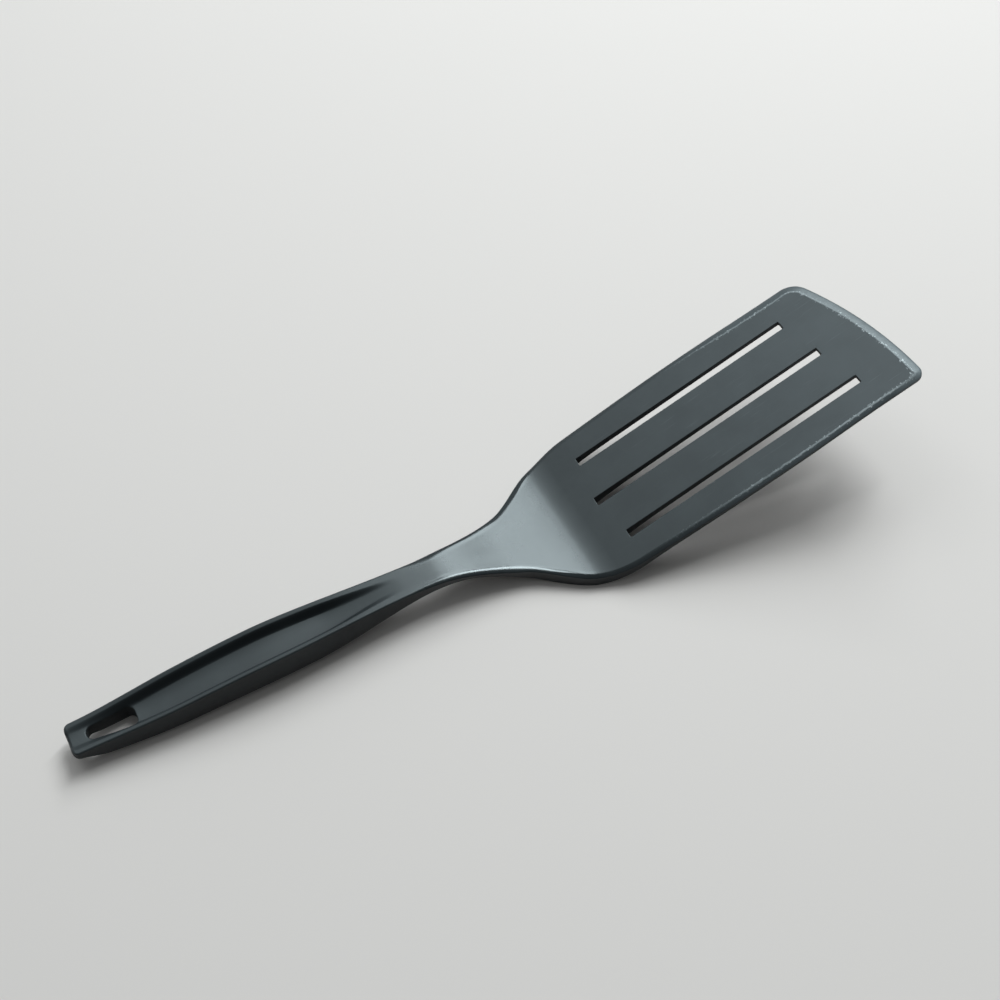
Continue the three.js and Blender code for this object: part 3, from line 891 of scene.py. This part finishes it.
class Nodes:
    """Short calls that add nodes to a tree; each gives back the node's result."""

    def __init__(self, tree):
        self.tree = tree

    def add(self, kind, output, inputs, **settings):
        node = self.tree.nodes.new(kind)
        for name, value in settings.items():
            setattr(node, name, value)
        for name, value in inputs.items():
            self.put(node.inputs[name], value)
        return node.outputs[output]

    def put(self, socket, value):
        if isinstance(value, bpy.types.NodeSocket):
            self.tree.links.new(value, socket)
        else:
            socket.default_value = value

    def attribute(self, name):
        return self.add("ShaderNodeAttribute", "Fac", {}, attribute_name=name)

    def part(self, axis, vector):
        return self.add("ShaderNodeSeparateXYZ", axis, {"Vector": vector})

    def math(self, operation, a, b=0.0):
        return self.add("ShaderNodeMath", 0, {0: a, 1: b}, operation=operation)

    def product(self, first, *others):
        for other in others:
            first = self.math("MULTIPLY", first, other)
        return first

    def total(self, first, *others):
        for other in others:
            first = self.math("ADD", first, other)
        return first

    def stretched(self, vector, turn, scale):
        return self.add("ShaderNodeMapping", 0, {"Vector": vector, "Rotation": (0, 0, turn), "Scale": scale})

    def noise(self, vector, scale, detail=2.0, roughness=0.5):
        inputs = {"Vector": vector, "Scale": scale, "Detail": detail, "Roughness": roughness}
        return self.add("ShaderNodeTexNoise", "Fac", inputs)

    def ramp(self, value, start, end, low=0.0, high=1.0):
        inputs = {"Value": value, "From Min": start, "From Max": end, "To Min": low, "To Max": high}
        return self.add("ShaderNodeMapRange", 0, inputs, interpolation_type="SMOOTHSTEP")

    def mix(self, share, a, b):
        return self.add("ShaderNodeMix", 2, {0: share, 6: a, 7: b}, data_type="RGBA")

    def bump(self, height, strength, depth, normal=None):
        inputs = {"Height": height, "Strength": strength, "Distance": depth}
        if normal:
            inputs["Normal"] = normal
        return self.add("ShaderNodeBump", 0, inputs)


def new_material(name):
    """A new material and its shader."""
    material = bpy.data.materials.new(name)
    material.use_nodes = True
    return material, material.node_tree.nodes["Principled BSDF"]


def nylon_fields(n):
    """The patterns, the wear and the painted highlights that the nylon's looks are mixed from."""
    place = n.add("ShaderNodeTexCoord", "Object", {})
    ridge = n.attribute("ridge")
    wear_and_sheen = n.attribute("wear_and_sheen")
    patches = n.noise(place, PATCH_SCALE, detail=4, roughness=0.65)
    stray = n.product(n.math("SUBTRACT", patches, 0.5), RIDGE_STRAY)
    from_ridge = n.math("ABSOLUTE", n.total(ridge, RIDGE_SHIFT, stray))
    lengthwise = n.stretched(place, SCRATCH_TURN, SCRATCH_SCALE)
    specks = n.ramp(n.noise(place, CHIP_AND_GLINT_SCALE, roughness=0.6), 0.6, 0.66)
    return SimpleNamespace(
        along=n.part("X", place),
        facing=n.part("Z", n.add("ShaderNodeTexCoord", "Normal", {})),
        inset=n.attribute("inset"),
        grain=n.noise(place, GRAIN_SCALE, detail=3),
        mottle=n.noise(place, MOTTLE_SCALE, detail=3),
        patches=patches,
        scratches=n.noise(lengthwise, 1, detail=3, roughness=0.6),
        # The pale line along the bevel's inner border is partly wear and partly a painted highlight
        worn_and_highlit_line=n.product(n.ramp(from_ridge, 0.5, 0.1), n.attribute("ridge_wear_and_highlight")),
        worn_face_and_sheen=n.product(n.ramp(ridge, 0.3, -0.3), wear_and_sheen),
        # Pale specks near the worn ridge: chips, and painted glints
        chips_and_glints=n.product(specks, n.ramp(from_ridge, 1.1, 0.3), wear_and_sheen),
    )


def nylon_colour(n, field):
    """Mottled black, hazy and scratched towards the tip on faces that face up, so that upright walls and
    undersides stay darker as painted shade, pale on worn bevels, and paler still where highlights and glints
    are painted.
    """
    haze_and_wall_shade = n.product(
        n.ramp(field.along, *HAZE_START),
        n.ramp(field.mottle, 0.2, 0.8, low=0.6),
        # Haze only on faces that face up: upright walls and undersides keep the dark nylon as painted shade
        n.ramp(field.facing, 0.5, 0.8),
    )
    layers = (
        (n.product(haze_and_wall_shade, HAZE_COVER), HAZE_COLOUR),
        (n.product(n.ramp(field.scratches, 0.62, 0.75), haze_and_wall_shade), SCRATCH_COLOUR),
        (n.product(field.worn_face_and_sheen, BEVEL_COVER), WORN_BEVEL_AND_SHEEN_COLOUR),
        (n.product(field.worn_and_highlit_line, RIDGE_COVER), RIDGE_WEAR_AND_HIGHLIGHT_COLOUR),
        (field.chips_and_glints, CHIP_AND_GLINT_COLOUR),
    )
    colour = n.mix(n.ramp(field.mottle, 0.3, 0.7), NYLON_DARK, NYLON_LIGHT)
    for cover, layer in layers:
        colour = n.mix(cover, colour, layer)
    return colour


def nylon_roughness(n, field):
    """Satin, smoother on the neck and most along its edges, duller on the pale ridge lines and upright walls.
    """
    neck_end = n.ramp(field.along, *NECK_END)
    polish = n.product(n.ramp(field.along, *POLISH_START), neck_end)
    near_edge = n.ramp(field.inset, 1.1 * NECK_ROUND, 0.7 * NECK_ROUND)
    rubbed = n.product(n.ramp(field.along, *RUB_START), neck_end, near_edge)
    return n.total(
        n.product(n.ramp(field.patches, 0.25, 0.75), n.ramp(polish, 0, 1, low=0.07, high=0.03)),
        SATIN_ROUGHNESS,
        n.product(polish, -POLISH_GAIN),
        n.product(rubbed, -RUB_GAIN),
        n.product(field.worn_and_highlit_line, RIDGE_DULLNESS),
        n.ramp(field.facing, 0.4, 0.1, high=WALL_DULLNESS),
    )


def nylon_normal(n, field):
    """A fine grain, a faint unevenness, and worn bevels that are rougher."""
    normal = n.bump(field.grain, strength=0.12, depth=0.00005)
    normal = n.bump(field.mottle, strength=0.10, depth=0.0001, normal=normal)
    pits = n.product(field.patches, field.worn_face_and_sheen)
    return n.bump(pits, strength=0.3, depth=0.0002, normal=normal)


def make_nylon():
    """Black nylon, used but clean."""
    material, shader = new_material("black_nylon")
    n = Nodes(material.node_tree)
    field = nylon_fields(n)
    n.put(shader.inputs["Base Color"], nylon_colour(n, field))
    n.put(shader.inputs["Roughness"], nylon_roughness(n, field))
    n.put(shader.inputs["Normal"], nylon_normal(n, field))
    return material


def make_floor():
    """A plain pale floor."""
    mesh = bpy.data.meshes.new("floor")
    corners = [(FLOOR_REACH * x, FLOOR_REACH * y, 0) for x, y in ((-1, -1), (1, -1), (1, 1), (-1, 1))]
    mesh.from_pydata(corners, [], [range(len(corners))])
    floor = add_object("floor", mesh)
    material, shader = new_material("pale_floor")
    shader.inputs["Base Color"].default_value = FLOOR_COLOUR
    shader.inputs["Roughness"].default_value = FLOOR_ROUGHNESS
    shader.inputs["Specular IOR Level"].default_value = FLOOR_SHINE
    mesh.materials.append(material)


def add_softbox(name, azimuth, elevation, distance, size, power):
    """A soft rectangular lamp that looks at the origin, with its place given in degrees and metres."""
    data = bpy.data.lights.new(name, "AREA")
    data.shape = "RECTANGLE"
    data.size, data.size_y = size
    data.energy = power
    data.color = LAMP_TINT
    lamp = add_object(name, data)
    turn = Euler((0, -math.radians(elevation), math.radians(azimuth))).to_matrix()
    lamp.location = turn @ Vector((distance, 0, 0))
    lamp.rotation_euler = (-lamp.location).to_track_quat("-Z", "Y").to_euler()


def make_light():
    """A room that is brighter at the back, and the soft lamps."""
    world = bpy.data.worlds.new("studio")
    world.use_nodes = True
    n = Nodes(world.node_tree)
    back = n.part("Y", n.add("ShaderNodeTexCoord", "Generated", {}))
    background = world.node_tree.nodes["Background"]
    background.inputs["Color"].default_value = (*LAMP_TINT, 1)
    n.put(background.inputs["Strength"], n.ramp(back, -1, 1, low=FRONT_LIGHT, high=BACK_LIGHT))
    bpy.context.scene.world = world
    for name, setting in SOFTBOXES.items():
        add_softbox(name, *setting)


def make_camera():
    """A camera at the photograph's viewing angle."""
    data = bpy.data.cameras.new("camera")
    data.lens = LENS
    data.sensor_width = SENSOR_WIDTH
    camera = add_object("camera", data)
    camera.location = CAMERA_PLACE
    turn = (Vector(CAMERA_AIM) - camera.location).to_track_quat("-Z", "Y").to_matrix()
    camera.rotation_euler = (turn @ Matrix.Rotation(CAMERA_ROLL, 3, "Z")).to_euler()
    bpy.context.scene.camera = camera


make_camera()
make_light()
make_floor()
spatula = make_spatula()
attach(spatula, "root")
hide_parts("blade", "neck", "handle")
bpy.context.scene.view_settings.view_transform = "Standard"
